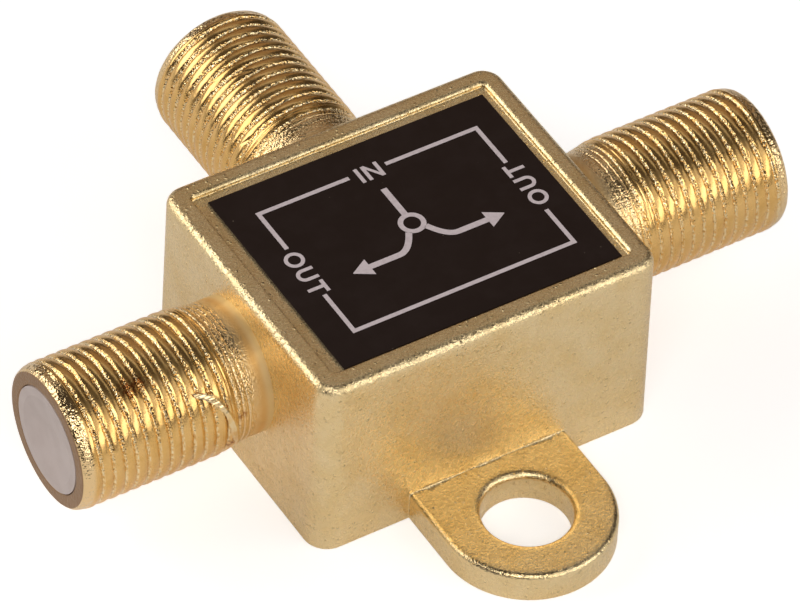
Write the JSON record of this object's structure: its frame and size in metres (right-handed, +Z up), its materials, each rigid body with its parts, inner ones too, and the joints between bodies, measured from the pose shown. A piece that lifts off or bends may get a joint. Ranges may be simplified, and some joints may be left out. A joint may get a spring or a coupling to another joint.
{
  "type": "coaxial splitter",
  "caption": "Small die-cast metal coaxial splitter box with threaded ports on its sides, a fixing ear and a printed label plate; shares one antenna or cable signal.",
  "frame": {"origin": "centre of the box on its base plane", "axes": "+X towards the right output port, +Y towards the input port, -Y towards the fixing ear, +Z up out of the label"},
  "size_m": [0.0508, 0.0437, 0.0138],
  "materials": {
    "gold_casting": "gold-plated casting, satin",
    "tinned_plate": "tinned, satin",
    "solder": "satin",
    "label_black": "printed plate, slightly glossy",
    "white_plastic": "matte",
    "contact_gold": "gold-plated",
    "board": "bare laminate, matte",
    "ferrite": "ceramic, matte",
    "copper_wire": "enamelled, glossy",
    "resistor_body": "lacquered",
    "tinned_wire": "tinned",
    "ceramic": "dipped ceramic, matte"
  },
  "bodies": {
    "root": {"housing": "gold_casting", "back_plate": "tinned_plate", "seam_solder": "solder", "label": "label_black", "in_insulator": "white_plastic", "out_left_insulator": "white_plastic", "out_right_insulator": "white_plastic", "in_contact": "contact_gold", "out_left_contact": "contact_gold", "out_right_contact": "contact_gold", "circuit_board": "board", "ground_solder": "solder", "tail_solder": "solder", "matching_core": "ferrite", "matching_winding": "copper_wire", "hybrid_core": "ferrite", "hybrid_winding": "copper_wire", "isolation_resistor": "resistor_body", "resistor_leads": "tinned_wire", "input_capacitor": "ceramic", "input_capacitor_leads": "tinned_wire", "matching_capacitor": "ceramic", "matching_capacitor_leads": "tinned_wire", "output_left_capacitor": "ceramic", "output_left_capacitor_leads": "tinned_wire", "output_right_capacitor": "ceramic", "output_right_capacitor_leads": "tinned_wire", "lead_solder": "solder"}
  },
  "joints": []
}
